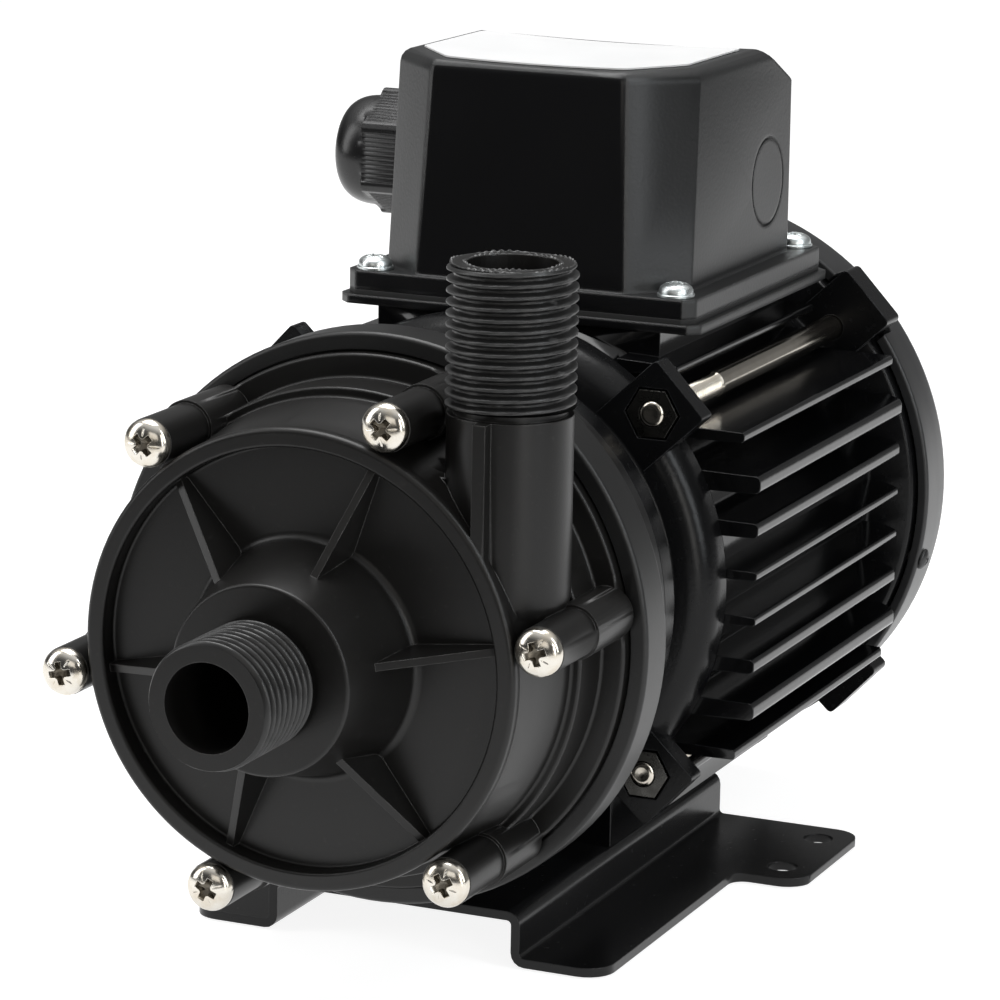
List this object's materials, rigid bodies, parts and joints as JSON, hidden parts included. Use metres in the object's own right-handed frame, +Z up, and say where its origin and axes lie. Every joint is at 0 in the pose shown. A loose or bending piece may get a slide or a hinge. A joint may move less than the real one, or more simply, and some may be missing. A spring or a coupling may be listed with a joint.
{
  "type": "magnetic drive pump",
  "caption": "Magnetic drive pump with moulded head, threaded inlet and outlet, finned motor, terminal box and folded sheet base.",
  "frame": {"origin": "middle of the four base holes on the mounting plane", "axes": "+Z up from the mounting plane, the pump axis along Y with the inlet towards -Y, the outlet on the +X side"},
  "size_m": [0.1077, 0.207, 0.1463],
  "materials": {
    "casing_plastic": "fine matte moulded",
    "stainless_screw": "polished",
    "seal_rubber": "matte",
    "can_plastic": "moulded",
    "ceramic": "ground",
    "impeller_plastic": "moulded",
    "bush_carbon": "machined",
    "magnet": "sintered",
    "hub_steel": "turned",
    "bracket_plastic": "satin moulded",
    "inner_screw": "zinc plated",
    "painted_cast": "gloss black paint",
    "lamination": "stamped",
    "copper": "enamelled",
    "shaft_steel": "ground",
    "bearing_steel": "ground",
    "rod_steel": "passivated",
    "fan_plastic": "moulded",
    "cowl_plastic": "semi-gloss",
    "cowl_screw": "black oxide",
    "painted_sheet": "gloss black paint",
    "zinc_screw": "bright zinc",
    "box_plastic": "gloss moulded",
    "block_plastic": "moulded",
    "capacitor_can": "smooth",
    "gland_plastic": "satin moulded",
    "plate_white": "printed film, bare"
  },
  "bodies": {
    "housing": {"front_casing": "casing_plastic", "casing_screws": "stainless_screw", "casing_o_ring": "seal_rubber", "gland_seal": "seal_rubber", "terminal_gasket": "seal_rubber", "rear_casing": "can_plastic", "spindle": "ceramic", "thrust_ring": "ceramic", "pump_bracket": "bracket_plastic", "bracket_screws": "inner_screw", "base_screws": "inner_screw", "box_base_screws": "inner_screw", "front_end_shield": "painted_cast", "motor_frame": "painted_cast", "rear_end_shield": "painted_cast", "stator_core": "lamination", "stator_windings": "copper", "front_bearing": "bearing_steel", "rear_bearing": "bearing_steel", "wave_washer": "bearing_steel", "tie_rods": "rod_steel", "tie_rod_nuts": "rod_steel", "fan_cover": "cowl_plastic", "fan_cover_screws": "cowl_screw", "base_bracket": "painted_sheet", "cover_screws": "zinc_screw", "terminal_box_base": "box_plastic", "terminal_cover": "box_plastic", "terminal_block": "block_plastic", "run_capacitor": "capacitor_can", "gland_body": "gland_plastic", "gland_locknut": "gland_plastic", "gland_nut": "gland_plastic", "nameplate": "plate_white"},
    "motor_rotor": {"motor_shaft": "shaft_steel", "rotor_core": "lamination", "drive_hub": "hub_steel", "drive_magnets": "magnet", "hub_grub_screw": "hub_steel", "cooling_fan": "fan_plastic"},
    "impeller_rotor": {"impeller": "impeller_plastic", "impeller_bush": "bush_carbon", "impeller_magnet": "magnet"}
  },
  "joints": [
    {"name": "motor_spin", "type": "hinge", "parent": "housing", "child": "motor_rotor", "pos_m": [0, 0, 0.0595], "axis": [0, 1, 0], "continuous": true},
    {"name": "impeller_spin", "type": "hinge", "parent": "housing", "child": "impeller_rotor", "pos_m": [0, 0, 0.0595], "axis": [0, 1, 0], "continuous": true}
  ],
  "couplings": [
    {"joint": "impeller_spin", "follows": "motor_spin", "ratio": 1}
  ]
}
